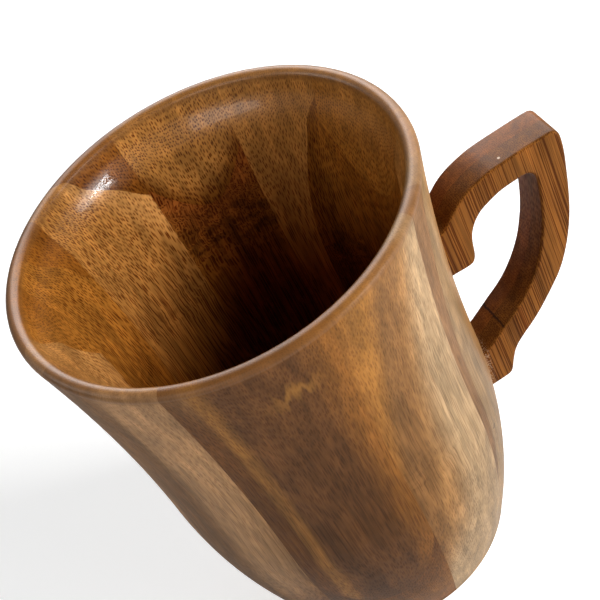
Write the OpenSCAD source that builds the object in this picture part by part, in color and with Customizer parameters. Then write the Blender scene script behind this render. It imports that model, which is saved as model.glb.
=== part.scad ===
// Bamboo cup turned from a tube of upright two-layer bamboo staves, with a flat two-ply bamboo handle.
// The origin is the centre of the foot, +Z is up and +X points at the handle.

/* [Cup body] */
// Height of the cup from the foot to the top of the lip
cup_h = 108; // [90:1:130]
// Outside diameter at the lip
rim_d = 86.4; // [82:0.2:96]
// Outside diameter at the waist, the slimmest upright part of the side
waist_d = 75.8; // [72:0.2:80]
// Outside diameter to which the side runs in at the ground
foot_d = 57.8; // [56:0.2:64]
// Height of the waist above the ground
waist_z = 48; // [40:1:60]
// Wall thickness at the waist
wall_t = 4.8; // [4:0.1:6]
// Thickness of the rounded lip
lip_t = 2.9; // [2:0.1:3.6]

/* [Floor and foot] */
// Thickness of the floor disc, which closes the tube flush with the foot
floor_t = 8; // [5:0.5:10]
// Width of the ring of wall round the floor disc
foot_ring_t = 4.9; // [4:0.1:6]
// Radius of the rounded outer edge of the foot
foot_round = 1.4; // [0.5:0.1:2.4]
// Width of the middle strip of the floor disc
floor_strip_w = 22; // [16:0.5:26]

/* [Staves] */
// Number of upright staves glued into a ring
stave_count = 10; // [8:1:12]
// Angle of the first joint between staves, from the handle's direction towards the back
first_joint_angle = 63.5; // [55:0.5:69]
// Depth below the outside of the waist at which the layers of a stave are glued
layer_in = 3.4; // [3:0.1:4]

/* [Handle] */
// Thickness of the handle board, both plies together
handle_t = 10; // [8:0.5:14]
// Reach of the handle's outer corner beyond the side of the cup at its waist
handle_reach = 33; // [28:0.5:38]
// Height of the lowest point of the handle
handle_low_z = 24.9; // [22:0.5:28]
// Height of the handle board
handle_h = 57.1; // [50:0.5:62]
// Width of the narrow strips in each handle ply
handle_strip_w = 10.6; // [9:0.2:12]
// Distance from the waist to the first strip joint of the front ply
handle_joint_in = 5.7; // [4:0.1:7]

/* [Dowels] */
// Diameter of the dowels that join the handle to the cup
dowel_d = 4; // [3:0.25:4.5]
// Depth of a dowel in the wall
dowel_in_wall = 3; // [2:0.25:3.5]
// Depth of a dowel in the handle
dowel_in_handle = 6; // [4:0.25:6]
// Height of the upper dowel above the lowest point of the handle
upper_dowel_rise = 43.1; // [41:0.1:45]
// Height of the lower dowel above the lowest point of the handle
lower_dowel_rise = 5.7; // [5:0.1:7]

/* [Hidden] */
$fn = 96;
// Steps on each half of the cup's side, on the lip and on the rounded foot edge
side_steps = 8;
lip_steps = 8;
foot_steps = 3;
// Power of the curve with which the outside leaves the waist
side_power = 2;
// Power of the curves with which the cavity rounds in to the floor and opens to the lip
cavity_power = 3;
// Gap filled by glue round the floor disc and the dowels
glue_gap = 0.05;
// Free length at each end of a dowel bore
bore_end_gap = 0.2;
// One overrun for every cut and block
overrun = 5;

rim_r = rim_d / 2;
waist_r = waist_d / 2;
foot_r = foot_d / 2;
floor_r = foot_r - foot_ring_t;
lip_r = lip_t / 2;
block_half = rim_r + overrun;
ply_t = handle_t / 2;
upper_dowel_z = handle_low_z + upper_dowel_rise;
lower_dowel_z = handle_low_z + lower_dowel_rise;

// Outside and inside radius of the wall at a height above the ground
function rise_share(z) = (z - waist_z) / (cup_h - waist_z);
function fall_share(z, low) = (waist_z - z) / (waist_z - low);
function outer_r(z) = z > waist_z
    ? waist_r + (rim_r - waist_r) * pow(rise_share(z), side_power)
    : waist_r - (waist_r - foot_r) * pow(fall_share(z, 0), side_power);
function inner_r(z) = z > waist_z
    ? waist_r - wall_t + (rim_r - lip_t - waist_r + wall_t) * pow(rise_share(z), cavity_power)
    : waist_r - wall_t - (waist_r - wall_t - floor_r) * pow(fall_share(z, floor_t), cavity_power);

// Heights of the profile points, from the foot to the waist and from the waist to the lip
function steps(low, high, count) = [for (i = [0:count]) low + (high - low) * i / count];
lip_z = cup_h - lip_r;
outer_zs = concat(steps(foot_round, waist_z, side_steps), steps(waist_z, lip_z, side_steps));
inner_zs = concat(steps(floor_t, waist_z, side_steps), steps(waist_z, lip_z, side_steps));

// A list of points without those that repeat the one before
function unrepeated(pts) = [for (i = [0:len(pts) - 1]) if (i == 0 || pts[i] != pts[i - 1]) pts[i]];
foot_x = outer_r(foot_round) - foot_round;
outer_side = unrepeated(concat(
    [for (i = [0:foot_steps]) let (a = 90 * i / foot_steps)
        [foot_x + foot_round * sin(a), foot_round * (1 - cos(a))]],
    [for (z = outer_zs) [outer_r(z), z]]));
inner_side = unrepeated([for (z = inner_zs) [inner_r(z), z]]);
lip_mid = (outer_r(lip_z) + inner_r(lip_z)) / 2;
lip_half = (outer_r(lip_z) - inner_r(lip_z)) / 2;
lip_arc = [for (i = [1:lip_steps - 1]) let (a = 180 * i / lip_steps)
    [lip_mid + lip_half * cos(a), lip_z + lip_r * sin(a)]];
inner_down = [for (i = [len(inner_side) - 1:-1:0]) inner_side[i]];
wall_profile = concat(outer_side, lip_arc, inner_down, [[floor_r, 0]]);
solid_profile = concat(outer_side, [[0, lip_z], [0, 0]]);

// Staves are counted anticlockwise from above; each has an outer and an inner layer
stave_angle = 360 / stave_count;
stave_layers = ["outer", "inner"];
function two_digits(n) = n < 10 ? str("0", n) : str(n);
function stave_name(i, layer) = str("stave_", two_digits(i + 1), "_", layer);
function taken(list, i) = list[i % len(list)];
// Shift of each joint from even spacing, as shares of the angle of an even stave
joint_shift_shares = [0, 0, 0.01, -0.32, -0.26, -0.24, -0.04, -0.04, -0.04, 0.11];
function joint_angle(i) = first_joint_angle
    + (i + taken(joint_shift_shares, i % stave_count)) * stave_angle;
function mid_angle(i) = (joint_angle(i) + joint_angle(i + 1)) / 2;
// Turn of each stave's glued face from square on to its middle, as shares of the same angle
face_turn_shares = [0, -0.7, -0.84, -0.75, 0, 0, -0.69, -1.69, 0, 0.51];
// Distance of each glued face from the axis, as shares of the common distance
face_d_shares = [1, 1.037, 0.978, 0.991, 1, 1, 0.939, 0.742, 1, 0.929];
face_d = waist_r - layer_in;
// The staves that the dowel bores can reach
function near_handle(i) = cos(mid_angle(i)) > cos(stave_angle);

// Floor strips as [name, low x, high x]
floor_joint = floor_strip_w / 2;
floor_strips = [
    ["floor_strip_left", -block_half, -floor_joint],
    ["floor_strip_middle", -floor_joint, floor_joint],
    ["floor_strip_right", floor_joint, block_half]];

// Outline of the handle as shares of its reach and height, from the upper joint round the outside
handle_outline_shares = [
    [-0.12, 0.859], [0.064, 0.859], [0.145, 0.909], [0.217, 0.944], [0.289, 0.967],
    [0.361, 0.981], [0.440, 0.992], [0.530, 1], [0.936, 1], [0.970, 0.992], [0.991, 0.976],
    [1, 0.952], [0.994, 0.880], [0.970, 0.795], [0.942, 0.700], [0.894, 0.580],
    [0.812, 0.459], [0.712, 0.359], [0.612, 0.299], [0.542, 0.259], [0.470, 0.221],
    [0.392, 0.186], [0.303, 0.154], [0.224, 0.117], [0.176, 0.063], [0.148, 0.020],
    [0.120, 0.002], [0.060, 0], [-0.12, 0],
    [-0.12, 0.150], [0.080, 0.214], [0.235, 0.273], [0.330, 0.305], [0.407, 0.340],
    [0.470, 0.378], [0.528, 0.420], [0.576, 0.462], [0.615, 0.504], [0.650, 0.552],
    [0.685, 0.604], [0.712, 0.660], [0.734, 0.720], [0.748, 0.770], [0.757, 0.808],
    [0.760, 0.838], [0.752, 0.861], [0.734, 0.876], [0.708, 0.886], [0.676, 0.889],
    [0.580, 0.888], [0.515, 0.886], [0.461, 0.878], [0.408, 0.868], [0.361, 0.858],
    [0.325, 0.844], [0.294, 0.827], [0.268, 0.807], [0.247, 0.786], [0.232, 0.760],
    [0.221, 0.732], [0.214, 0.700], [0.207, 0.679], [0.195, 0.662], [0.175, 0.650],
    [0.140, 0.646], [0.090, 0.648], [-0.12, 0.656]];
// Height that parts the upper from the lower pieces of one handle strip, within the finger opening
handle_split_share = 0.6;
handle_split_z = handle_low_z + handle_split_share * handle_h;
// Strip joints of the two plies, those of the back ply set half a strip further out
front_joints = [for (i = [0:2]) waist_r + handle_joint_in + i * handle_strip_w];
back_joints = [for (i = [0:1]) waist_r + handle_joint_in + (i + 1 / 2) * handle_strip_w];
handle_out = waist_r + handle_reach + overrun;
front_edges = concat([0], front_joints, [handle_out]);
back_edges = concat([0], back_joints, [handle_out]);
// Handle pieces as [name, side of the board, strip, part]: part 1 is the upper piece and -1 the lower
handle_pieces = [
    ["handle_front_upper_root", -1, 0, 1],
    ["handle_front_lower_root", -1, 0, -1],
    ["handle_front_upper_arm", -1, 1, 1],
    ["handle_front_lower_arm", -1, 1, -1],
    ["handle_front_bend", -1, 2, 0],
    ["handle_front_outer_edge", -1, 3, 0],
    ["handle_back_upper_root", 1, 0, 1],
    ["handle_back_lower_root", 1, 0, -1],
    ["handle_back_upper_arm", 1, 1, 1],
    ["handle_back_lower_arm", 1, 1, -1],
    ["handle_back_bend", 1, 2, 0]];
// Dowels as [name, height]
dowels = [
    ["upper_dowel", upper_dowel_z],
    ["lower_dowel", lower_dowel_z]];

// Tones of the bamboo, taken in turn by neighbouring pieces
wall_tones = ["burlywood", "peru", "tan", "sandybrown", "goldenrod"];
handle_tones = ["sienna", "peru", "chocolate"];
function tone(tones, i) = tones[i % len(tones)];

// A block between two X, two Y and two Z planes
module block(xs, ys, zs) {
    translate([xs[0], ys[0], zs[0]])
        cube([xs[1] - xs[0], ys[1] - ys[0], zs[1] - zs[0]]);
}

// Bores for both dowels, running from the wall into the handle
module dowel_bores() {
    for (d = dowels)
        translate([outer_r(d[1]) - dowel_in_wall - bore_end_gap, 0, d[1]])
            rotate([0, 90, 0])
                cylinder(h = dowel_in_wall + dowel_in_handle + 2 * bore_end_gap, d = dowel_d + 2 * glue_gap);
}

// The wedge between the two joints of a stave
module stave_wedge(i) {
    far = 2 * block_half;
    translate([0, 0, -overrun]) linear_extrude(cup_h + 2 * overrun)
        polygon(concat([[0, 0]], [for (a = [joint_angle(i), mid_angle(i), joint_angle(i + 1)])
            [far * cos(a), far * sin(a)]]));
}

// The space of one layer, on one side of the glued face of a stave
module layer_space(i, layer) {
    face = face_d * taken(face_d_shares, i);
    reach = 2 * block_half;
    rotate([0, 0, mid_angle(i) + taken(face_turn_shares, i) * stave_angle])
        block(layer == "outer" ? [face, face + reach] : [face - reach, face],
            [-reach, reach], [-overrun, cup_h + overrun]);
}

// One layer of one stave, turned with the rest of the wall
module stave(i, layer) {
    color(tone(wall_tones, layer == "outer" ? 2 * i : 2 * i + 1)) difference() {
        intersection() {
            rotate_extrude() polygon(wall_profile);
            stave_wedge(i);
            layer_space(i, layer);
        }
        if (near_handle(i)) dowel_bores();
    }
}

// One flat strip of the floor disc
module floor_strip(i) {
    color(tone(wall_tones, i)) intersection() {
        cylinder(h = floor_t, r = floor_r - glue_gap);
        block([floor_strips[i][1], floor_strips[i][2]], [-block_half, block_half], [-overrun, floor_t + overrun]);
    }
}

// One ply of the handle board on the side given, -1 in front and 1 behind
module handle_ply(side) {
    outline = [for (p = handle_outline_shares) [waist_r + p[0] * handle_reach, handle_low_z + p[1] * handle_h]];
    translate([0, side > 0 ? ply_t : 0, 0])
        rotate([90, 0, 0]) linear_extrude(ply_t) polygon(outline);
}

// One piece of a handle ply between two strip joints, seated on the side of the cup
module handle_piece(i) {
    piece = handle_pieces[i];
    edges = piece[1] < 0 ? front_edges : back_edges;
    low = piece[3] > 0 ? handle_split_z : -overrun;
    high = piece[3] < 0 ? handle_split_z : cup_h;
    color(tone(handle_tones, i)) difference() {
        intersection() {
            handle_ply(piece[1]);
            block([edges[piece[2]], edges[piece[2] + 1]], [-handle_t, handle_t], [low, high]);
        }
        if (piece[2] == 0) {
            rotate_extrude() polygon(solid_profile);
            dowel_bores();
        }
    }
}

// One dowel between the wall and the handle
module dowel(i) {
    color("wheat")
        translate([outer_r(dowels[i][1]) - dowel_in_wall, 0, dowels[i][1]])
            rotate([0, 90, 0]) cylinder(h = dowel_in_wall + dowel_in_handle, d = dowel_d);
}

for (i = [0:stave_count - 1])
    for (layer = stave_layers)
        stave(i, layer);
for (i = [0:len(floor_strips) - 1])
    floor_strip(i);
for (i = [0:len(handle_pieces) - 1])
    handle_piece(i);
for (i = [0:len(dowels) - 1])
    dowel(i);
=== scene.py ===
# Bamboo cup turned from glued staves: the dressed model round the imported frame.
import math
import random
import bmesh
import bpy
from mathutils import Matrix, Vector


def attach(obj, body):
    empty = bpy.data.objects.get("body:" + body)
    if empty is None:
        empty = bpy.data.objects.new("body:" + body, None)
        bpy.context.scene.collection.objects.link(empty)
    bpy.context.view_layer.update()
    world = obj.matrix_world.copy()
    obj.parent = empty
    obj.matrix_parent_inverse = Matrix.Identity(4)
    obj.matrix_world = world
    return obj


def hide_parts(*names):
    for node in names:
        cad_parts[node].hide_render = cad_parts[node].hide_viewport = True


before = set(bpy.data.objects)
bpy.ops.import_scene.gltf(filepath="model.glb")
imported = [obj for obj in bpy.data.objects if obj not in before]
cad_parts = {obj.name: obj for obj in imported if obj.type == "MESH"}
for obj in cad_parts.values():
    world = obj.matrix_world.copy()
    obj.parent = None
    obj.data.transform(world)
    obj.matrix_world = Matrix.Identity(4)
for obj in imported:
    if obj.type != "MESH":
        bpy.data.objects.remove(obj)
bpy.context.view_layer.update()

MM = 0.001

# Sizes of the cup, in millimetres, as the construction has them; the rim is a hair smaller
CUP_H = 108.0
RIM_R = 43.19
WAIST_R = 37.9
FOOT_R = 28.9
WAIST_Z = 48.0
WALL_T = 4.8
LIP_T = 2.9
LIP_R = LIP_T / 2
FLOOR_R = 24.0
FLOOR_T = 8.0
FLOOR_STRIP_W = 22.0
FLOOR_ROUND = 0.3
FOOT_ROUND = 1.4
SIDE_POWER = 2
CAVITY_POWER = 3
BLOCK_MARGIN = 5.0
BLOCK_HALF = RIM_R + BLOCK_MARGIN
GLUE_GAP = 0.05
# The middle of the rounded lip, and the height from which the lip counts
LIP_MIDDLE_Z = CUP_H - LIP_R
LIP_Z = CUP_H - LIP_T

# A shallow turning ripple below the lip, in millimetres, where the cavity catches the window's light
RIPPLE_Z = 101.0
RIPPLE_H = 3.2
RIPPLE_D = 0.48
RIPPLE_FADE_H = 3.6

# The staves, with the construction's shares
STAVE_COUNT = 10
STAVE_ANGLE = 360 / STAVE_COUNT
FIRST_JOINT_ANGLE = 63.5
FACE_IN = 3.4
FACE_D = WAIST_R - FACE_IN
JOINT_SHIFT_SHARES = [0, 0, 0.01, -0.32, -0.26, -0.24, -0.04, -0.04, -0.04, 0.11]
FACE_TURN_SHARES = [0, -0.7, -0.84, -0.75, 0, 0, -0.69, -1.69, 0, 0.51]
FACE_D_SHARES = [1, 1.037, 0.978, 0.991, 1, 1, 0.939, 0.742, 1, 0.929]

# Sizes of the handle, in millimetres
HANDLE_T = 10.0
PLY_T = HANDLE_T / 2
HANDLE_REACH = 33.0
HANDLE_LOW_Z = 24.9
HANDLE_H = 57.1
HANDLE_STRIP_W = 10.6
HANDLE_JOINT_IN = 5.7
HANDLE_SPLIT_SHARE = 0.6
HANDLE_SPLIT_Z = HANDLE_LOW_Z + HANDLE_SPLIT_SHARE * HANDLE_H
EDGE_ROUND = 0.7
DOWEL_R = 2.0

# Outline of the handle as shares of its reach and height, from the upper joint round the outside
OUTLINE_SHARES = [
    (-0.12, 0.859), (0.064, 0.859), (0.145, 0.909), (0.217, 0.944), (0.289, 0.967),
    (0.361, 0.981), (0.440, 0.992), (0.530, 1), (0.936, 1), (0.970, 0.992), (0.991, 0.976),
    (1, 0.952), (0.994, 0.880), (0.970, 0.795), (0.942, 0.700), (0.894, 0.580),
    (0.812, 0.459), (0.712, 0.359), (0.612, 0.299), (0.542, 0.259), (0.470, 0.221),
    (0.392, 0.186), (0.303, 0.154), (0.224, 0.117), (0.176, 0.063), (0.148, 0.020),
    (0.120, 0.002), (0.060, 0), (-0.12, 0),
    (-0.12, 0.150), (0.080, 0.214), (0.235, 0.273), (0.330, 0.305), (0.407, 0.340),
    (0.470, 0.378), (0.528, 0.420), (0.576, 0.462), (0.615, 0.504), (0.650, 0.552),
    (0.685, 0.604), (0.712, 0.660), (0.734, 0.720), (0.748, 0.770), (0.757, 0.808),
    (0.760, 0.838), (0.752, 0.861), (0.734, 0.876), (0.708, 0.886), (0.676, 0.889),
    (0.580, 0.888), (0.515, 0.886), (0.461, 0.878), (0.408, 0.868), (0.361, 0.858),
    (0.325, 0.844), (0.294, 0.827), (0.268, 0.807), (0.247, 0.786), (0.232, 0.760),
    (0.221, 0.732), (0.214, 0.700), (0.207, 0.679), (0.195, 0.662), (0.175, 0.650),
    (0.140, 0.646), (0.090, 0.648), (-0.12, 0.656)]
CORNER_CUTS = 2
CORNER_SHARE = 0.25

# Handle pieces as (name, side, strip, part): side -1 is the front ply, part 1 is above the split and -1 below
HANDLE_PIECES = [
    ("handle_front_upper_root", -1, 0, 1),
    ("handle_front_lower_root", -1, 0, -1),
    ("handle_front_upper_arm", -1, 1, 1),
    ("handle_front_lower_arm", -1, 1, -1),
    ("handle_front_bend", -1, 2, 0),
    ("handle_front_outer_edge", -1, 3, 0),
    ("handle_back_upper_root", 1, 0, 1),
    ("handle_back_lower_root", 1, 0, -1),
    ("handle_back_upper_arm", 1, 1, 1),
    ("handle_back_lower_arm", 1, 1, -1),
    ("handle_back_bend", 1, 2, 0)]

# Mesh fineness
TURNS = 360
TURN_ANGLES = [2 * math.pi * t / TURNS for t in range(TURNS)]
SIDE_STEPS = 112
LIP_STEPS = 14
FOOT_STEPS = 6
ROUND_STEPS = 4
CUT_DISTANCE = 1e-5
SHARP_ANGLE = math.radians(40)
# Material index that marks a glued face until the piece is made
JOINT_FACE = 1

# Ground tones of bamboo, from pale to dark
PALE = (0.55, 0.350, 0.160)
SAND = (0.50, 0.300, 0.095)
PALE_TAN = (0.48, 0.235, 0.060)
LIGHT = (0.43, 0.195, 0.040)
SAND_LOW = (0.40, 0.225, 0.065)
TAN = (0.35, 0.138, 0.018)
ROSE = (0.300, 0.140, 0.036)
MID = (0.27, 0.096, 0.011)
DEEP = (0.250, 0.075, 0.012)
UMBER = (0.25, 0.107, 0.021)
BROWN = (0.185, 0.062, 0.007)
UMBER_DARK = (0.145, 0.053, 0.009)
DARK = (0.012, 0.008, 0.006)
GLUE_CRUMB = (0.42, 0.30, 0.20)
FLECK_TONE = (0.70, 0.58, 0.46)
# Tones of the handle's plies, at the board's front and back
FRONT_PLY = ((0.265, 0.098, 0.018), (0.25, 0.092, 0.016))
BACK_PLY = ((0.36, 0.120, 0.022), (0.32, 0.105, 0.018))

# What the varnish does to every tone: in the bundles, in the cavity and on the outside; then painted shade
# that darkens the cavity downwards
BURNT = (0.27, 0.125, 0.055)
INSIDE_CAST = (1.12, 1.08, 1.20)
OUTSIDE_CAST = (0.93, 1.02, 1.70)
# Painted shade in the cavity: full below the first height, none above the second
CAVITY_PAINTED_SHADE = (0.68, 0.50, 0.33)
CAVITY_PAINTED_SHADE_Z = (42.0, 92.0)
# The outside is darker towards the bottom, between these heights
LOW_SHADE = 0.20
LOW_SHADE_Z = (45.0, 95.0)
# The rounded lip is handled most, and its end grain is browner and greyer
LIP_TONE = (0.170, 0.070, 0.018)
LIP_TONE_SHARE = 0.55
LIP_TONE_Z = (LIP_Z + 0.4, LIP_Z + 1.7)

# Between the cavity and the outside: the middle of the wall, and a band by the foot that counts as outside
MIDDLE_POWER = 2.3
MIDDLE_SOFT = 0.3
FOOT_BAND_Z = (0.3 * FLOOR_T, 0.6 * FLOOR_T)

# How strongly the bundles stand out on the plain pieces, and on the outside and lip as shares of the cavity
CONTRAST = 0.85
OUTSIDE_CONTRAST = 0.46
LIP_CONTRAST = 0.6
LIP_CONTRAST_Z = (LIP_Z + 0.2, LIP_Z + 1.6)

# Density of the bundles where a strip is nearest and farthest
FLOOR_DENSITY = (0.6, 0.4)
BOARD_DENSITY = (0.8, 0.4)
DOWEL_DENSITY = (0.3, 0.3)
# Distance of the bundles in millimetres, through the strip and beside one another, and how unevenly they lie;
# they are closer together through the strip, as they are in the culm's wall
STRIP_PITCH = (0.29, 0.50)
BOARD_PITCH = (0.42, 0.42)
BUNDLE_RANDOMNESS = 0.6
# Their radius as a share of that distance, when thin and added when dense, and its soft edge
BUNDLE_THIN = 0.24
BUNDLE_ADDED = 0.14
BUNDLE_SOFT = (0.60, 1.30)

# Noise along the grain as (scale across it, scale along it), per millimetre
CURL_GRAIN = (0.25, 0.30)
PATCH_GRAIN = (0.22, 0.40)
BROKEN_GRAIN = (1.1, 0.16)
CLOUD_GRAIN = (0.17, 0.030)
STREAK_GRAIN = (0.75, 0.035)
FIBRE_GRAIN = (2.4, 0.10)
BLOTCH_GRAIN = (0.42, 0.12)
BOARD_BLOTCH_GRAIN = (0.42, 0.03)
LINE_GRAIN = (2.6, 0.4, 0.008)
WAVE_GRAIN = (0.24, 0.22)
CRUMB_GRAIN = (2.6, 2.6)
# How the fibres wander, as (scale across, scale along, reach in millimetres)
WANDER = ((0.10, 0.040, 1.3), (0.35, 0.13, 0.12))
BOARD_SWAY = 0.2
CURL_REACH = 2.2
# Patches at a node of the culm, and how much denser the bundles are there
PATCH_RAMP = (0.40, 0.60)
NODE_THICKENS = 0.5

# Shades as (noise from, noise to, shade from, shade to)
CLOUD_SHADE = (0.25, 0.75, 1.16, 0.80)
STREAK_SHADE = (0.28, 0.72, 1.14, 0.84)
FIBRE_SHADE = (0.32, 0.70, 1.10, 0.82)
BLOTCH_SHADE = (0.30, 0.66, 1.14, 0.84)
THICK_SHADE = (0.0, 1.0, 1.0, 0.80)
DARK_NODE_SHADE = (0.0, 1.0, 1.0, 0.58)
LIGHT_NODE_SHADE = (0.0, 1.0, 1.0, 1.45)
BROKEN_SHADE = (0.34, 0.56, 0.65, 1.0)
PICK_SHADE = (0.0, 0.75, 0.75, 1.0)
THIN_SHADE = (0.0, 0.7, 0.7, 1.0)
BAND_SHADE = (0.0, 1.0, 0.95, 1.05)
# Faces that cut across the handle's board drink more varnish: what that does to the tone and to the bundles
EDGE_SHADE = (0.45, 0.90, 0.78, 1.0)
EDGE_BUNDLES = (0.45, 0.90, 0.85, 1.0)
BAND_W = 4.6
BAND_SWAY = 0.4
LINE_RAMP = (0.60, 0.68, 0.0, 0.8)
LINE_FACES = (0.4, 0.8)

# Gloss of the varnish: roughness, specular level and coat, with the mouth's and the lip's own
ROUGH = 0.33
BOARD_ROUGH = 0.42
BUNDLE_ROUGH = 0.16
SHINE = 0.12
SHINE_MOUTH = 0.60
SHINE_OUTSIDE = 0.06
COAT = 0.05
BOARD_COAT = 0.0
COAT_ROUGH = 0.22
COAT_LIP = 0.50
MOUTH_Z = (LIP_Z - 14.0, LIP_Z - 3.0)
MOUTH_END = (LIP_Z - 2.4, LIP_Z - 0.4, 1.0, 0.25)
LIP_COAT_Z = (LIP_Z + 0.7, LIP_Z + 1.7)
COAT_ROUGH_LIP = (LIP_Z - 3.0, LIP_Z - 0.5, 0.08, 0.36)
COAT_ROUGH_WALL = (0.0, 1.0, 0.08, 0.40)
# The board's upper side is polished by the thumb
THUMB_COAT = (0.70, 1.0, BOARD_COAT, 0.28)
IOR = 1.5
# Relief: slow waves left by the tool, the fibres, and its depth in metres
TOOL_WAVES = 2.6
FIBRE_BUMP = 0.35
BUMP_STRENGTH = 0.12
BUMP_DISTANCE = 0.0003

# The random shift of each piece's bamboo in millimetres, and the seeds
RANDOM_SHIFT = 90.0
STAVE_SEEDS = 10
FLOOR_SEED = 100
HANDLE_SEED = 200
PLY_SEEDS = 7
DOWEL_SEED = 300

# Base of the bell curves, and the degrees in a radian
BELL_BASE = 2.718
DEGREES = 180.0 / math.pi

# The look of each stave layer: tone towards the axis, tone outwards, width of the change measured from the
# glued face as (from, to), density of the bundles towards the axis and outwards, and nodes of the culm as
# (height, size, strength, dark)
LOOKS = {
    "stave_01_outer": (BROWN, LIGHT, (-0.1, 1.3), (0.8, 0.6), ()),
    "stave_01_inner": (TAN, DEEP, (-4, 0), (0.85, 1.0), ((77, 9, 1.0, True), (86, 6, 0.9, False))),
    "stave_02_outer": (BROWN, MID, (0, 4), (0.6, 0.5), ()),
    "stave_02_inner": (LIGHT, PALE_TAN, (-2.6, -0.6), (0.8, 0.35), ((66, 6, 0.35, True),)),
    "stave_03_outer": (MID, BROWN, (0, 5), (0.4, 0.4), ()),
    "stave_03_inner": (TAN, TAN, (-4, 0), (0.7, 0.5), ((64, 6, 0.5, True),)),
    "stave_04_outer": (TAN, MID, (0, 5), (0.5, 0.4), ()),
    "stave_04_inner": (PALE_TAN, PALE_TAN, (-5, 0), (0.6, 0.5), ()),
    "stave_05_outer": (MID, PALE_TAN, (-1, 3), (0.6, 0.3), ()),
    "stave_05_inner": (TAN, MID, (-4, 0), (0.5, 0.6), ()),
    "stave_06_outer": (BROWN, UMBER, (4, 7), (0.5, 0.5), ()),
    "stave_06_inner": (MID, BROWN, (-4, 0), (0.5, 0.7), ()),
    "stave_07_outer": (SAND, LIGHT, (0.1, 4.0), (0.5, 0.35), ((52, 9, 0.3, True),)),
    "stave_07_inner": (SAND, SAND, (-4, 0), (0.35, 0.35), ()),
    "stave_08_outer": (ROSE, ROSE, (0, 5), (0.4, 0.4), ()),
    "stave_08_inner": (SAND_LOW, SAND_LOW, (-9, 0), (0.3, 0.4), ()),
    "stave_09_outer": (TAN, LIGHT, (0, 6), (0.5, 0.3), ()),
    "stave_09_inner": (TAN, MID, (-4, 0), (0.6, 0.5), ()),
    "stave_10_outer": (LIGHT, LIGHT, (0, 5), (0.4, 0.4), ()),
    "stave_10_inner": (TAN, MID, (-4, 0), (0.7, 0.9), ((60, 8, 0.8, True),))}
# Tones that drift round the cup, each as (tone, azimuth from, azimuth to, degrees more per millimetre down)
DRIFT_Z = 97.0
DRIFTS = {
    "stave_05_outer": ((UMBER, -140, -147, 0.0),),
    "stave_06_outer": ((TAN, -120, -117.5, 0.0), (UMBER_DARK, -116.5, -112.5, 0.0), (MID, -94, -82, 0.0)),
    "stave_07_outer": ((UMBER, -56, -63, 0.27), (TAN, -67, -74, 0.27), (MID, -74, -84, 0.1)),
    "stave_08_inner": ((LIGHT, -32, -20, 0.0),)}
# Small marks as (place, size, tone, how much flatter than wide)
PINHOLE = ((29.0, -23.5, 36.0), 0.85, DARK, 2.6)
FLECK = ((57.4, -3.0, 82.0), 0.32, FLECK_TONE, 1.0)
PINHOLE_STAVES = ("stave_08_outer", "stave_08_inner")
MARK_SOFT = (0.7, 1.2)
# A jagged light figure on the front where a small node was cut through, with its place and reach
FLAME_STAVE = "stave_06_outer"
FLAME_PLACE = (-4.1, -41.1, 96.1)
FLAME_REACH = 4.2
FLAME_GRAIN = (0.62, 0.0)
FLAME_HEIGHT = 12.0
FLAME_SOFT = (0.1, 2.6)
FLAME_TONE_SHARE = 0.5
FLAME_BUNDLE_SHARE = 0.7
# A hairline across the board's edges
CRACK_X = 44.4
CRACK_PIECES = ("handle_front_lower_arm", "handle_back_lower_root")
CRACK_GRAIN = 0.7
CRACK_SOFT = (0.12, 0.32)
CRACK_FACES = (0.3, 0.7)
CRACK_SHARE = 0.8
# Pale crumbs of glue where the board meets the cup
CRUMB_RAMP = (0.50, 0.60)
CRUMB_REACH = (0.5, 2.6)
CRUMB_SHARE = 0.8

# Camera at the photograph's view, worked out from the lip's ellipse and the sides of the cup
CAMERA_PLACE = (-9.53 * MM, -209.91 * MM, 272.82 * MM)
CAMERA_TURN = [math.radians(a) for a in (42.930, 21.133, -25.974)]
CAMERA_LENS = 84.0
CAMERA_SENSOR = 36.0
CAMERA_CLIP = (0.02, 20.0)

# The stage floor: half its width in metres, its tone, and how much it glows for the camera
STAGE_HALF = 3.0
STAGE_TONE = (0.86, 0.87, 0.88)
STAGE_ROUGH = 0.6
STAGE_GLOW = 0.55

# Light colours, and the place of the highlight in the cup's mouth
WHITE = (1.0, 1.0, 1.0)
CLEAR = (1.0, 0.99, 0.97)
WARM = (1.0, 0.985, 0.96)
HIGHLIGHT = (-0.015, 0.035, 0.10)
# Soft lamps as (name, place, target, size, power, colour, seen in reflections)
LAMPS = (
    ("key", (0.66, -0.40, 0.62), (0, 0, 0.08), (0.34, 0.34), 11.0, WARM, False),
    ("fill", (-0.58, -0.62, 0.42), (0, 0, 0.06), (0.7, 0.5), 2.2, CLEAR, True),
    ("side", (-0.72, 0.22, 0.50), (0, 0, 0.08), (0.5, 0.4), 1.6, CLEAR, True),
    ("window_bar", (0.68, -0.74, 0.26), HIGHLIGHT, (0.40, 0.008), 1.1, WHITE, True),
    ("window_glow", (0.70, -0.74, 0.10), HIGHLIGHT, (0.50, 0.30), 2.6, WHITE, True))

# The room: weak light all round, and brighter only in reflections, above and behind and on the handle's side
SKY_DIFFUSE = 0.04
SKY_GLOSS = (0.05, 0.30, 1.0, 5.6)
SKY_BACK = (0.05, 0.50, 0.05, 1.0)
SKY_SIDE = (-0.16, 0.16, 0.10, 1.0)


# Share of the way from the waist up to the lip
def rise_share(z):
    return (z - WAIST_Z) / (CUP_H - WAIST_Z)


# Outside and inside radius of the wall, in millimetres, at a height above the ground
def outer_r(z):
    if z > WAIST_Z:
        return WAIST_R + (RIM_R - WAIST_R) * rise_share(z) ** SIDE_POWER
    return WAIST_R - (WAIST_R - FOOT_R) * ((WAIST_Z - z) / WAIST_Z) ** SIDE_POWER


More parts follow.
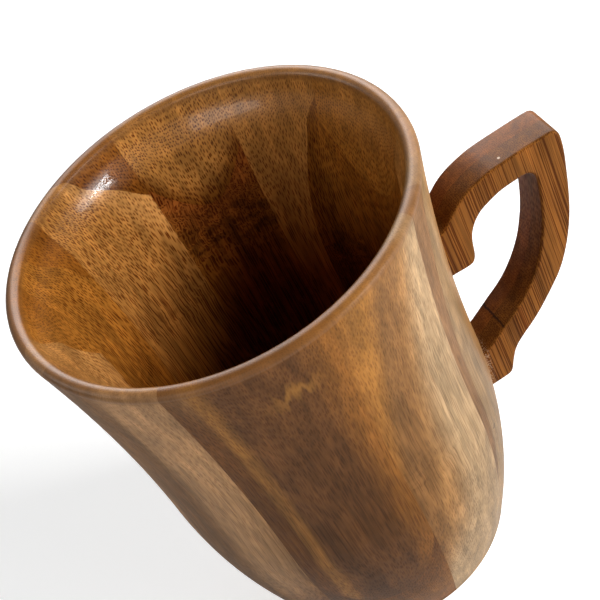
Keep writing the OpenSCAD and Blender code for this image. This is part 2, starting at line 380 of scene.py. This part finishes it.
def inner_r(z):
    if z > WAIST_Z:
        return WAIST_R - WALL_T + (RIM_R - LIP_T - WAIST_R + WALL_T) * rise_share(z) ** CAVITY_POWER
    fall = (WAIST_Z - z) / (WAIST_Z - FLOOR_T)
    return WAIST_R - WALL_T - (WAIST_R - WALL_T - FLOOR_R) * fall ** CAVITY_POWER


# How far the ripple moves the cavity's wall at a height; it fades out towards the lip
def ripple(z):
    t = (z - RIPPLE_Z) / RIPPLE_H
    fade = min(max((LIP_MIDDLE_Z - z) / RIPPLE_FADE_H, 0.0), 1.0)
    return RIPPLE_D * t * math.exp(-t * t / 2) * fade * fade * (3 - 2 * fade)


def steps(low, high, count):
    return [low + (high - low) * i / count for i in range(count + 1)]


# Closed profile of the wall as (radius, height), from the foot up the outside and down the inside
def wall_profile():
    foot_x = outer_r(FOOT_ROUND) - FOOT_ROUND
    points = []
    for i in range(FOOT_STEPS):
        a = math.pi / 2 * i / FOOT_STEPS
        points.append((foot_x + FOOT_ROUND * math.sin(a), FOOT_ROUND * (1 - math.cos(a))))
    points += [(outer_r(z), z) for z in steps(FOOT_ROUND, LIP_MIDDLE_Z, SIDE_STEPS)]
    middle = (outer_r(LIP_MIDDLE_Z) + inner_r(LIP_MIDDLE_Z)) / 2
    half = (outer_r(LIP_MIDDLE_Z) - inner_r(LIP_MIDDLE_Z)) / 2
    for i in range(1, LIP_STEPS):
        a = math.pi * i / LIP_STEPS
        points.append((middle + half * math.cos(a), LIP_MIDDLE_Z + LIP_R * math.sin(a)))
    points += [(inner_r(z) + ripple(z), z) for z in steps(LIP_MIDDLE_Z, FLOOR_T, SIDE_STEPS)]
    points.append((FLOOR_R, 0.0))
    return points


# Faces that join each closed row of points to the next
def skin(bm, rows):
    for a, b in zip(rows, rows[1:]):
        count = len(a)
        for i in range(count):
            j = (i + 1) % count
            bm.faces.new((a[i], a[j], b[j], b[i]))


# A point of a turned form as a vertex, from its radius, its angle and its height
def turned_point(bm, radius, angle, z):
    return bm.verts.new((radius * math.cos(angle), radius * math.sin(angle), z))


# A turned solid as a bmesh, from its profile of (radius, height), closed at both ends
def turned_solid(profile):
    bm = bmesh.new()
    rings = [[turned_point(bm, r, a, z) for a in TURN_ANGLES] for r, z in profile]
    skin(bm, rings)
    bm.faces.new(list(reversed(rings[0])))
    bm.faces.new(rings[-1])
    bmesh.ops.recalc_face_normals(bm, faces=bm.faces)
    return bm


# The whole turned wall as a bmesh, in millimetres, made column by column of its closed profile
def turned_wall():
    profile = wall_profile()
    bm = bmesh.new()
    columns = [[turned_point(bm, r, a, z) for r, z in profile] for a in TURN_ANGLES]
    for here, there in zip(columns, columns[1:] + columns[:1]):
        for i in range(len(profile)):
            j = (i + 1) % len(profile)
            bm.faces.new((here[i], there[i], there[j], here[j]))
    bmesh.ops.recalc_face_normals(bm, faces=bm.faces)
    return bm


# Cuts a bmesh by a plane, keeps the side that the normal points away from, and closes the cut
def cut(bm, point, normal):
    geom = bm.verts[:] + bm.edges[:] + bm.faces[:]
    made = bmesh.ops.bisect_plane(
        bm, geom=geom, dist=CUT_DISTANCE, plane_co=point, plane_no=normal, clear_outer=True)
    edges = [e for e in made["geom_cut"] if isinstance(e, bmesh.types.BMEdge) and e.is_valid]
    open_edges = [e for e in edges if e.is_boundary]
    if not open_edges:
        return
    filled = bmesh.ops.holes_fill(bm, edges=open_edges, sides=0)
    for f in filled["faces"]:
        f.material_index = JOINT_FACE


# A mesh piece made of a bmesh in millimetres; its joint faces are glued joints, which stay flat
def piece_from(bm, name, material):
    bm.verts.ensure_lookup_table()
    for e in bm.edges:
        tags = {f.material_index for f in e.link_faces}
        if len(tags) > 1:
            e.smooth = False
        elif len(e.link_faces) == 2 and e.calc_face_angle(0.0) > SHARP_ANGLE:
            e.smooth = False
    for f in bm.faces:
        f.smooth = f.material_index != JOINT_FACE
        f.material_index = 0
    bmesh.ops.triangulate(bm, faces=[f for f in bm.faces if len(f.verts) > 4])
    bm.transform(Matrix.Scale(MM, 4))
    mesh = bpy.data.meshes.new(name)
    bm.to_mesh(mesh)
    piece = bpy.data.objects.new(name, mesh)
    bpy.context.scene.collection.objects.link(piece)
    mesh.materials.append(material)
    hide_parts(name)
    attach(piece, "root")
    return piece


# The joints and the glued faces of the staves, by the same rule as the construction, in radians
def joint_angle(i):
    return math.radians(FIRST_JOINT_ANGLE + (i + JOINT_SHIFT_SHARES[i % STAVE_COUNT]) * STAVE_ANGLE)


def face_angle(i):
    middle = (joint_angle(i) + joint_angle(i + 1)) / 2
    return middle + math.radians(FACE_TURN_SHARES[i] * STAVE_ANGLE)


# Helpers for a node tree, where a value is a number or another node's socket
class Nodes:
    def __init__(self, tree):
        self.tree = tree

    def node(self, kind, **values):
        n = self.tree.nodes.new(kind)
        for key, value in values.items():
            setattr(n, key, value)
        return n

    def link(self, a, b):
        self.tree.links.new(a, b)

    def put(self, socket, value):
        if isinstance(value, bpy.types.NodeSocket):
            self.link(value, socket)
        else:
            socket.default_value = value

    def math(self, op, a, b=0.0, c=0.0, clamp=False):
        n = self.node("ShaderNodeMath", operation=op, use_clamp=clamp)
        for socket, value in zip(n.inputs, (a, b, c)):
            self.put(socket, value)
        return n.outputs[0]

    def add(self, a, b, clamp=False):
        return self.math("ADD", a, b, clamp=clamp)

    def sub(self, a, b):
        return self.math("SUBTRACT", a, b)

    def mul(self, first, *others):
        for other in others:
            first = self.math("MULTIPLY", first, other)
        return first

    # a times b, plus c
    def mul_add(self, a, b, c):
        return self.math("MULTIPLY_ADD", a, b, c)

    def divide(self, a, b, clamp=False):
        return self.math("DIVIDE", a, b, clamp=clamp)

    def size(self, a):
        return self.math("ABSOLUTE", a)

    def larger(self, a, b):
        return self.math("MAXIMUM", a, b)

    # What a share leaves of the whole
    def rest(self, a):
        return self.sub(1.0, a)

    # A bell curve that is 1 at zero
    def bell(self, a):
        return self.math("POWER", BELL_BASE, self.mul(a, a, -1.0))

    def length(self, x, y, z=0.0):
        n = self.node("ShaderNodeVectorMath", operation="LENGTH")
        self.link(self.combine(x, y, z), n.inputs[0])
        return n.outputs["Value"]

    def ramp(self, value, low, high, out_low=0.0, out_high=1.0):
        n = self.node("ShaderNodeMapRange", interpolation_type="SMOOTHSTEP")
        for socket, v in zip(n.inputs, (value, low, high, out_low, out_high)):
            self.put(socket, v)
        return n.outputs[0]

    # A ramp from 1 at the low value to 0 at the high one
    def fade(self, value, low, high):
        return self.ramp(value, low, high, 1.0, 0.0)

    def combine(self, x, y, z):
        n = self.node("ShaderNodeCombineXYZ")
        for socket, value in zip(n.inputs, (x, y, z)):
            self.put(socket, value)
        return n.outputs[0]

    def parts(self, vector):
        n = self.node("ShaderNodeSeparateXYZ")
        self.link(vector, n.inputs[0])
        return n.outputs

    def channels(self, colour):
        n = self.node("ShaderNodeSeparateColor")
        self.link(colour, n.inputs[0])
        return n.outputs

    def noise(self, vector, detail=3.0, rough=0.5):
        n = self.node("ShaderNodeTexNoise")
        self.link(vector, n.inputs["Vector"])
        n.inputs["Scale"].default_value = 1.0
        n.inputs["Detail"].default_value = detail
        n.inputs["Roughness"].default_value = rough
        return n

    def grey(self, vector, detail=3.0, rough=0.5):
        return self.noise(vector, detail, rough).outputs["Fac"]

    def mix(self, share, a, b, blend="MIX"):
        n = self.node("ShaderNodeMix", data_type="RGBA", blend_type=blend)
        self.put(n.inputs[0], share)
        for socket, value in ((n.inputs[6], a), (n.inputs[7], b)):
            if isinstance(value, bpy.types.NodeSocket):
                self.link(value, socket)
            else:
                socket.default_value = (*value, 1.0)
        return n.outputs[2]

    # A tone times another tone or a shade
    def tint(self, tone, by):
        return self.mix(1.0, tone, by, "MULTIPLY")


# The node tree of a new material, empty at first
class Shader(Nodes):
    def __init__(self, name):
        self.material = bpy.data.materials.new(name)
        self.material.use_nodes = True
        super().__init__(self.material.node_tree)
        self.tree.nodes.clear()

    def finish(self, surface):
        out = self.node("ShaderNodeOutputMaterial")
        self.link(surface, out.inputs["Surface"])
        return self.material


# Bamboo as a solid: fibre bundles run along Z, so they show as dots on a slope and as streaks upright
class Bamboo(Shader):
    def __init__(self, name, seed):
        super().__init__(name)
        rng = random.Random(seed)
        self.coordinates = self.node("ShaderNodeTexCoord")
        # The place in millimetres, and the same with a random shift so that no two pieces are alike
        self.place = [self.mul(c, 1 / MM) for c in self.parts(self.coordinates.outputs["Object"])]
        self.shifted = [self.add(c, rng.uniform(-RANDOM_SHIFT, RANDOM_SHIFT)) for c in self.place]

    def stretched(self, point, scales):
        return self.combine(*[self.mul(c, s) for c, s in zip(point, scales)])

    # The shifted place as it is, and as the fibres' wandering bends it, each stretched along the grain
    def grain(self, across, along):
        return self.stretched(self.shifted, (across, across, along))

    def strands(self, across, along):
        return self.stretched(self.wandered, (across, across, along))

    def from_axis(self):
        return self.length(*self.place[:2])

    # Sets how broadly a face lies along the board, from 0 on its edges to 1, and how far it looks up
    def find_faces(self):
        facing = self.parts(self.coordinates.outputs["Normal"])
        self.broad = self.size(facing[1])
        self.upward = facing[2]

    # Sideways moves of the fibres, which wander slowly along their length
    def wander(self, sway):
        moves = [0.0, 0.0]
        for across, along, reach in WANDER:
            drift = self.channels(self.noise(self.grain(across, along), detail=2.0).outputs["Color"])
            moves = [self.mul_add(self.sub(c, 0.5), reach * sway, m) for c, m in zip(drift, moves)]
        return moves

    # Fibres curl, and tones change, where a node of the culm crosses the strip
    def cross_nodes(self, knots, moves):
        curl = self.sub(self.grey(self.grain(*CURL_GRAIN), detail=2.0), 0.5)
        patches = self.ramp(self.grey(self.grain(*PATCH_GRAIN)), *PATCH_RAMP)
        shares = {True: 0.0, False: 0.0}
        for height, size, strength, dark in knots:
            knot = self.bell(self.divide(self.sub(self.place[2], height), size))
            bend = self.mul(curl, CURL_REACH * strength, knot)
            moves = [self.add(m, bend) for m in moves]
            shares[dark] = self.add(shares[dark], self.mul(knot, patches, strength), clamp=True)
        return moves, shares[True], shares[False]

    # 1 on the outside of the cup and 0 in its cavity, with the change in the middle of the wall and the lip
    def outside(self):
        z = self.place[2]
        rise = self.divide(self.sub(z, WAIST_Z), CUP_H - WAIST_Z, clamp=True)
        middle = self.mul_add(self.math("POWER", rise, MIDDLE_POWER), RIM_R - LIP_R - WAIST_R + WALL_T / 2,
                              WAIST_R - WALL_T / 2)
        fall = self.divide(self.sub(WAIST_Z, z), WAIST_Z, clamp=True)
        middle = self.mul_add(self.mul(fall, fall), FOOT_R - WAIST_R, middle)
        past = self.sub(self.from_axis(), middle)
        return self.larger(self.ramp(past, -MIDDLE_SOFT, MIDDLE_SOFT), self.fade(z, *FOOT_BAND_Z))

    # Bundles stand out more in the cavity, where the tool opened them, than outside and on the lip
    def wall_contrast(self, outside):
        return self.mul(self.ramp(outside, 0.0, 1.0, 1.0, OUTSIDE_CONTRAST),
                        self.ramp(self.place[2], *LIP_CONTRAST_Z, 1.0, LIP_CONTRAST))

    # Where the bundles are, each in a cell of its own; the cells are laid out in the strip's own frame
    def bundles(self, turn, thick, contrast, board):
        x, y, _ = self.wandered
        through = self.mul_add(y, math.sin(turn), self.mul(x, math.cos(turn)))
        beside = self.mul_add(y, math.cos(turn), self.mul(x, -math.sin(turn)))
        pitch = BOARD_PITCH if board else STRIP_PITCH
        cells = self.node("ShaderNodeTexVoronoi", voronoi_dimensions="2D", feature="F1")
        self.link(self.combine(self.divide(through, pitch[0]), self.divide(beside, pitch[1]), 0.0),
                  cells.inputs["Vector"])
        cells.inputs["Scale"].default_value = 1.0
        cells.inputs["Randomness"].default_value = BUNDLE_RANDOMNESS
        radius = self.mul_add(thick, BUNDLE_ADDED, BUNDLE_THIN)
        core = self.fade(cells.outputs["Distance"], *[self.mul(radius, share) for share in BUNDLE_SOFT])
        # Some bundles are darker than others, and all but the board's are broken along their length
        pick = self.channels(cells.outputs["Color"])[0]
        weight = self.mul(self.ramp(pick, *PICK_SHADE), self.ramp(thick, *THIN_SHADE))
        if not board:
            broken = self.grey(self.grain(*BROKEN_GRAIN), detail=1.0)
            weight = self.mul(weight, self.ramp(broken, *BROKEN_SHADE))
        return self.mul(core, self.mul(weight, contrast))

    # The board has tone steps, one for each culm wall that it was pressed from, and darker edges
    def board_shade(self, shade, move):
        step = self.node("ShaderNodeTexWhiteNoise", noise_dimensions="1D")
        banded = self.add(self.shifted[0], self.mul(move, BAND_SWAY))
        self.link(self.math("FLOOR", self.divide(banded, BAND_W)), step.inputs["W"])
        band = self.ramp(step.outputs["Value"], *BAND_SHADE)
        return self.mul(shade, band, self.ramp(self.broad, *EDGE_SHADE))

    # It also has long dark vessel lines where a face lies along the grain
    def board_bundles(self, core):
        line = self.grey(self.stretched(self.wandered, LINE_GRAIN), detail=0.0)
        line = self.mul(self.ramp(line, *LINE_RAMP), self.ramp(self.broad, *LINE_FACES))
        return self.larger(self.mul(core, self.ramp(self.broad, *EDGE_BUNDLES)), line)

    # Tones that drift round the cup, between azimuths that turn further down the wall
    def drift(self, ground, drifts):
        x, y, z = self.place
        azimuth = self.mul(self.math("ARCTAN2", y, x), DEGREES)
        for tone, start, end, tilt in drifts:
            turned = self.mul_add(self.sub(DRIFT_Z, z), tilt, azimuth)
            ground = self.mix(self.ramp(turned, start, end), ground, tone)
        return ground

    # What the varnish does to the wall's tones, with the outside darker towards the bottom and painted shade
    # that darkens the cavity downwards
    def varnish_and_painted_shade(self, ground, outside):
        z = self.place[2]
        ground = self.mix(outside, self.tint(ground, INSIDE_CAST), self.tint(ground, OUTSIDE_CAST))
        low = self.mul(self.ramp(z, *LOW_SHADE_Z, LOW_SHADE, 0.0), outside)
        ground = self.tint(ground, self.rest(low))
        # Painted shade: the cavity's tones darken downwards
        painted_shade = self.mul(self.fade(z, *CAVITY_PAINTED_SHADE_Z), self.rest(outside))
        ground = self.mix(painted_shade, ground, self.tint(ground, CAVITY_PAINTED_SHADE))
        return self.mix(self.ramp(z, *LIP_TONE_Z, 0.0, LIP_TONE_SHARE), ground, LIP_TONE)

    # Where the jagged light figure is
    def flame(self):
        off = [self.sub(c, v) for c, v in zip(self.place, FLAME_PLACE)]
        near_by = self.bell(self.divide(self.length(*off), FLAME_REACH))
        jag = self.sub(self.grey(self.grain(*FLAME_GRAIN), detail=1.0), 0.5)
        level = self.size(self.sub(off[2], self.mul(jag, FLAME_HEIGHT)))
        return self.mul(self.fade(level, *FLAME_SOFT), near_by)

    # Where the hairline crosses the board's edges
    def crack(self):
        wave = self.sub(self.grey(self.combine(0.0, self.mul(self.shifted[1], CRACK_GRAIN), 0.0)), 0.5)
        slit = self.size(self.sub(self.sub(self.place[0], CRACK_X), wave))
        return self.mul(self.fade(slit, *CRACK_SOFT), self.fade(self.broad, *CRACK_FACES), CRACK_SHARE)

    # Where crumbs of glue are, close to the cup's outside below the waist
    def crumbs(self):
        below = self.sub(WAIST_Z, self.place[2])
        wall = self.mul_add(self.mul(below, below), -(WAIST_R - FOOT_R) / WAIST_Z ** 2, WAIST_R)
        grains = self.ramp(self.grey(self.grain(*CRUMB_GRAIN), detail=2.0), *CRUMB_RAMP)
        return self.mul(grains, self.fade(self.sub(self.from_axis(), wall), *CRUMB_REACH), CRUMB_SHARE)

    # Where a small mark is
    def mark(self, spot, size, squash):
        x, y, z = [self.sub(c, v) for c, v in zip(self.place, spot)]
        off = self.length(x, y, self.mul(z, squash))
        return self.fade(off, *[size * share for share in MARK_SOFT])

    # The varnish is thickest and smoothest in the cavity's mouth and over the lip
    def wall_gloss(self, shader, outside):
        z = self.place[2]
        mouth = self.mul(self.ramp(z, *MOUTH_Z), self.rest(outside), self.ramp(z, *MOUTH_END))
        shine = self.add(self.ramp(outside, 0.0, 1.0, SHINE, SHINE_OUTSIDE),
                         self.mul(mouth, SHINE_MOUTH - SHINE))
        coated = self.larger(mouth, self.ramp(z, *LIP_COAT_Z))
        smooth = self.larger(self.ramp(z, *COAT_ROUGH_LIP), self.ramp(outside, *COAT_ROUGH_WALL))
        self.link(shine, shader.inputs["Specular IOR Level"])
        self.link(self.ramp(coated, 0.0, 1.0, COAT, COAT_LIP), shader.inputs["Coat Weight"])
        self.link(smooth, shader.inputs["Coat Roughness"])


# A strip's bamboo; its tone and the density of its bundles change across the strip, from near to far
def bamboo(name, near, far, span, turn, density, seed, knots=(), wall=False, board=False, drifts=(), marks=(),
           flame=False, crack=False, glue=False):
    s = Bamboo(name, seed)
    x, y, _ = s.place
    if board:
        s.find_faces()
    moves = s.wander(BOARD_SWAY if board else 1.0)
    if knots:
        moves, dark_nodes, light_nodes = s.cross_nodes(knots, moves)
    s.wandered = [s.add(c, m) for c, m in zip(s.shifted, moves)] + [s.shifted[2]]
    outside = s.outside() if wall else None

    deep = s.ramp(s.mul_add(y, math.sin(turn), s.mul(x, math.cos(turn))), *span)
    thick = s.ramp(deep, 0.0, 1.0, *density)
    if knots:
        thick = s.add(thick, s.mul(dark_nodes, NODE_THICKENS))
    core = s.bundles(turn, thick, s.wall_contrast(outside) if wall else CONTRAST, board)

    # Ground tone with clouds along the grain and fine fibres between the bundles
    cloud = s.grey(s.strands(*CLOUD_GRAIN))
    streak = s.grey(s.strands(*STREAK_GRAIN), rough=0.6)
    fibre = s.grey(s.strands(*FIBRE_GRAIN), rough=0.65)
    blotch = s.grey(s.grain(*(BOARD_BLOTCH_GRAIN if board else BLOTCH_GRAIN)), detail=2.0)
    shade = s.mul(s.ramp(cloud, *CLOUD_SHADE), s.ramp(streak, *STREAK_SHADE), s.ramp(fibre, *FIBRE_SHADE),
                  s.ramp(blotch, *BLOTCH_SHADE), s.ramp(thick, *THICK_SHADE))
    if knots:
        shade = s.mul(shade, s.ramp(dark_nodes, *DARK_NODE_SHADE), s.ramp(light_nodes, *LIGHT_NODE_SHADE))
    if board:
        shade = s.board_shade(shade, moves[0])
        core = s.board_bundles(core)
    ground = s.mix(deep, near, far)
    if drifts:
        ground = s.drift(ground, drifts)
    ground = s.tint(ground, shade)
    # The varnish's tones on the wall, with painted shade down in the cavity
    if wall:
        ground = s.varnish_and_painted_shade(ground, outside)
    if flame:
        glint = s.flame()
        ground = s.mix(s.mul(glint, FLAME_TONE_SHARE), ground, LIGHT)
        core = s.mul(core, s.rest(s.mul(glint, FLAME_BUNDLE_SHARE)))
    colour = s.mix(core, ground, s.tint(ground, BURNT))
    if crack:
        colour = s.mix(s.crack(), colour, DARK)
    if glue:
        colour = s.mix(s.crumbs(), colour, GLUE_CRUMB)
    for spot, size, tone, squash in marks:
        colour = s.mix(s.mark(spot, size, squash), colour, tone)

    # The varnished surface
    rough = BOARD_ROUGH if board else ROUGH
    shader = s.node("ShaderNodeBsdfPrincipled")
    s.link(colour, shader.inputs["Base Color"])
    s.link(s.ramp(core, 0.0, 1.0, rough, rough + BUNDLE_ROUGH), shader.inputs["Roughness"])
    shader.inputs["Specular IOR Level"].default_value = SHINE if wall else SHINE_OUTSIDE
    shader.inputs["Coat Weight"].default_value = BOARD_COAT if board else COAT
    shader.inputs["Coat Roughness"].default_value = COAT_ROUGH
    shader.inputs["IOR"].default_value = IOR
    height = s.sub(s.mul(fibre, FIBRE_BUMP), core)
    if wall:
        s.wall_gloss(shader, outside)
        # Slow waves left by the tool
        height = s.mul_add(s.grey(s.grain(*WAVE_GRAIN), detail=1.0), TOOL_WAVES, height)
    if board:
        s.link(s.ramp(s.upward, *THUMB_COAT), shader.inputs["Coat Weight"])
    bump = s.node("ShaderNodeBump")
    bump.inputs["Strength"].default_value = BUMP_STRENGTH
    bump.inputs["Distance"].default_value = BUMP_DISTANCE
    s.link(height, bump.inputs["Height"])
    s.link(bump.outputs["Normal"], shader.inputs["Normal"])
    return s.finish(shader.outputs[0])


# The wall: every stave layer is the part of the turned wall between its joints, on its side of the glued face
def build_wall():
    whole = turned_wall()
    for i in range(STAVE_COUNT):
        low = joint_angle(i)
        high = joint_angle(i + 1)
        stave = whole.copy()
        cut(stave, (0, 0, 0), (math.sin(low), -math.cos(low), 0))
        cut(stave, (0, 0, 0), (-math.sin(high), math.cos(high), 0))
        turn = face_angle(i)
        normal = Vector((math.cos(turn), math.sin(turn), 0))
        distance = FACE_D * FACE_D_SHARES[i]
        for layer, side in (("outer", -1), ("inner", 1)):
            name = f"stave_{i + 1:02d}_{layer}"
            near, far, width, density, knots = LOOKS[name]
            part = stave.copy()
            cut(part, normal * distance, normal * side)
            span = [distance + w for w in width]
            marks = (PINHOLE,) if name in PINHOLE_STAVES else ()
            material = bamboo(name, near, far, span, turn, density, STAVE_SEEDS * i + side, knots, wall=True,
                              drifts=DRIFTS.get(name, ()), marks=marks, flame=name == FLAME_STAVE)
            piece_from(part, name, material)
            part.free()
        stave.free()
    whole.free()


# The floor disc's three strips, with softened edges
def build_floor():
    joint = FLOOR_STRIP_W / 2
    radius = FLOOR_R - GLUE_GAP
    profile = [(radius - FLOOR_ROUND, 0.0), (radius, FLOOR_ROUND), (radius, FLOOR_T - FLOOR_ROUND),
               (radius - FLOOR_ROUND, FLOOR_T)]
    strips = (("floor_strip_left", -BLOCK_HALF, -joint, TAN), ("floor_strip_middle", -joint, joint, MID),
              ("floor_strip_right", joint, BLOCK_HALF, TAN))
    for i, (name, x0, x1, near) in enumerate(strips):
        bm = turned_solid(profile)
        if x0 > -BLOCK_HALF:
            cut(bm, (x0, 0, 0), (-1, 0, 0))
        if x1 < BLOCK_HALF:
            cut(bm, (x1, 0, 0), (1, 0, 0))
        span = (-FLOOR_R, FLOOR_R)
        material = bamboo(name, near, TAN, span, math.pi / 2, FLOOR_DENSITY, FLOOR_SEED + i)
        piece_from(bm, name, material)
        bm.free()


# The outline in millimetres, with its corners cut so that the curves run smoothly
def handle_outline():
    points = [Vector((WAIST_R + u * HANDLE_REACH, HANDLE_LOW_Z + v * HANDLE_H)) for u, v in OUTLINE_SHARES]
    for _ in range(CORNER_CUTS):
        finer = []
        for p, q in zip(points, points[1:] + points[:1]):
            finer.append(p.lerp(q, CORNER_SHARE))
            finer.append(p.lerp(q, 1 - CORNER_SHARE))
        points = finer
    return points


# The outline drawn in by a distance along its own normals
def drawn_in(points, distance):
    count = len(points)
    moved = []
    for i in range(count):
        d = (points[(i + 1) % count] - points[i - 1]).normalized()
        moved.append(points[i] + Vector((d.y, -d.x)) * distance)
    return moved


# One ply of the board, rounded along its outer edges; side -1 is the front and 1 the back
def handle_ply(side):
    outline = handle_outline()
    levels = [(0.0, 0.0), (PLY_T - EDGE_ROUND, 0.0)]
    for i in range(1, ROUND_STEPS + 1):
        a = math.pi / 2 * i / ROUND_STEPS
        levels.append((PLY_T - EDGE_ROUND * (1 - math.sin(a)), EDGE_ROUND * (1 - math.cos(a))))
    bm = bmesh.new()
    rows = []
    for out, inset in levels:
        rows.append([bm.verts.new((p.x, side * out, p.y)) for p in drawn_in(outline, inset)])
    skin(bm, rows)
    glued = bm.faces.new(rows[0])
    bm.faces.new(rows[-1])
    bmesh.ops.recalc_face_normals(bm, faces=bm.faces)
    glued.material_index = JOINT_FACE
    return bm


# Takes the solid of the cup's outside away from a handle root
def seat_on_cup(piece):
    bm = turned_solid([(outer_r(z) * MM, z * MM) for z in steps(FOOT_ROUND, LIP_MIDDLE_Z, SIDE_STEPS)])
    mesh = bpy.data.meshes.new("cup_outside")
    bm.to_mesh(mesh)
    bm.free()
    cutter = bpy.data.objects.new("cup_outside", mesh)
    bpy.context.scene.collection.objects.link(cutter)
    apply_cut(piece, cutter)
    bpy.data.objects.remove(cutter)
    bpy.data.meshes.remove(mesh)


def apply_cut(piece, cutter):
    modifier = piece.modifiers.new("seat", "BOOLEAN")
    modifier.operation = "DIFFERENCE"
    modifier.solver = "EXACT"
    modifier.object = cutter
    graph = bpy.context.evaluated_depsgraph_get()
    made = bpy.data.meshes.new_from_object(piece.evaluated_get(graph))
    piece.modifiers.remove(modifier)
    old = piece.data
    name = old.name
    piece.data = made
    bpy.data.meshes.remove(old)
    made.name = name


# The handle: every strip is the part of its ply between its joints
def build_handle():
    first = WAIST_R + HANDLE_JOINT_IN
    joints = {-1: [first + i * HANDLE_STRIP_W for i in range(3)],
              1: [first + (i + 0.5) * HANDLE_STRIP_W for i in range(2)]}
    for name, side, strip, part in HANDLE_PIECES:
        bm = handle_ply(side)
        edges = [None] + joints[side] + [None]
        if edges[strip] is not None:
            cut(bm, (edges[strip], 0, 0), (-1, 0, 0))
        if edges[strip + 1] is not None:
            cut(bm, (edges[strip + 1], 0, 0), (1, 0, 0))
        if part:
            cut(bm, (0, 0, HANDLE_SPLIT_Z), (0, 0, -part))
        near, far = FRONT_PLY if side < 0 else BACK_PLY
        seed = HANDLE_SEED + strip + PLY_SEEDS * side
        material = bamboo(name, near, far, (-PLY_T, PLY_T), math.pi / 2, BOARD_DENSITY, seed, board=True,
                          marks=(FLECK,) if side < 0 else (), crack=name in CRACK_PIECES,
                          glue=strip == 0 and part < 0)
        piece = piece_from(bm, name, material)
        bm.free()
        if strip == 0:
            seat_on_cup(piece)


# Dowels stay as the construction has them, out of sight, with their own bamboo
def dress_dowels():
    for i, name in enumerate(("upper_dowel", "lower_dowel")):
        span = (-DOWEL_R, DOWEL_R)
        material = bamboo(name, PALE, LIGHT, span, math.pi / 2, DOWEL_DENSITY, DOWEL_SEED + i)
        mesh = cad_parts[name].data
        mesh.materials.clear()
        mesh.materials.append(material)


def build_camera():
    data = bpy.data.cameras.new("camera")
    data.sensor_width = CAMERA_SENSOR
    data.lens = CAMERA_LENS
    data.clip_start, data.clip_end = CAMERA_CLIP
    camera = bpy.data.objects.new("camera", data)
    camera.location = CAMERA_PLACE
    camera.rotation_mode = "XYZ"
    camera.rotation_euler = CAMERA_TURN
    bpy.context.scene.collection.objects.link(camera)
    bpy.context.scene.camera = camera


# A plain pale floor that keeps the cup's shadow and is white to the camera
def build_stage():
    mesh = bpy.data.meshes.new("floor")
    bm = bmesh.new()
    corners = ((-1, -1), (1, -1), (1, 1), (-1, 1))
    bm.faces.new([bm.verts.new((x * STAGE_HALF, y * STAGE_HALF, 0)) for x, y in corners])
    bm.to_mesh(mesh)
    bm.free()
    floor = bpy.data.objects.new("floor", mesh)
    bpy.context.scene.collection.objects.link(floor)
    s = Shader("floor")
    shader = s.node("ShaderNodeBsdfPrincipled")
    shader.inputs["Base Color"].default_value = (*STAGE_TONE, 1.0)
    shader.inputs["Roughness"].default_value = STAGE_ROUGH
    glow = s.node("ShaderNodeEmission")
    glow.inputs["Color"].default_value = (*WHITE, 1.0)
    path = s.node("ShaderNodeLightPath")
    s.link(s.mul(path.outputs["Is Camera Ray"], STAGE_GLOW), glow.inputs["Strength"])
    both = s.node("ShaderNodeAddShader")
    s.link(shader.outputs[0], both.inputs[0])
    s.link(glow.outputs[0], both.inputs[1])
    mesh.materials.append(s.finish(both.outputs[0]))


def build_lamps():
    for name, place, target, size, power, colour, reflected in LAMPS:
        data = bpy.data.lights.new(name, "AREA")
        data.shape = "RECTANGLE"
        data.size, data.size_y = size
        data.energy = power
        data.color = colour
        lamp = bpy.data.objects.new(name, data)
        lamp.location = place
        lamp.rotation_mode = "QUATERNION"
        lamp.rotation_quaternion = (Vector(target) - Vector(place)).to_track_quat("-Z", "Y")
        lamp.visible_glossy = reflected
        bpy.context.scene.collection.objects.link(lamp)


def build_sky():
    world = bpy.data.worlds.new("world")
    world.use_nodes = True
    bpy.context.scene.world = world
    s = Nodes(world.node_tree)
    background = s.tree.nodes["Background"]
    background.inputs["Color"].default_value = (*WHITE, 1.0)
    path = s.node("ShaderNodeLightPath")
    x, y, z = s.parts(s.node("ShaderNodeTexCoord").outputs["Generated"])
    sky = s.mul(s.ramp(z, *SKY_GLOSS), s.ramp(y, *SKY_BACK), s.ramp(x, *SKY_SIDE))
    strength = s.node("ShaderNodeMix")
    s.link(path.outputs["Is Glossy Ray"], strength.inputs[0])
    strength.inputs[2].default_value = SKY_DIFFUSE
    s.link(sky, strength.inputs[3])
    s.link(strength.outputs[0], background.inputs["Strength"])


build_camera()
build_wall()
build_floor()
build_handle()
dress_dowels()
build_stage()
build_lamps()
build_sky()
bpy.context.scene.view_settings.view_transform = "Standard"
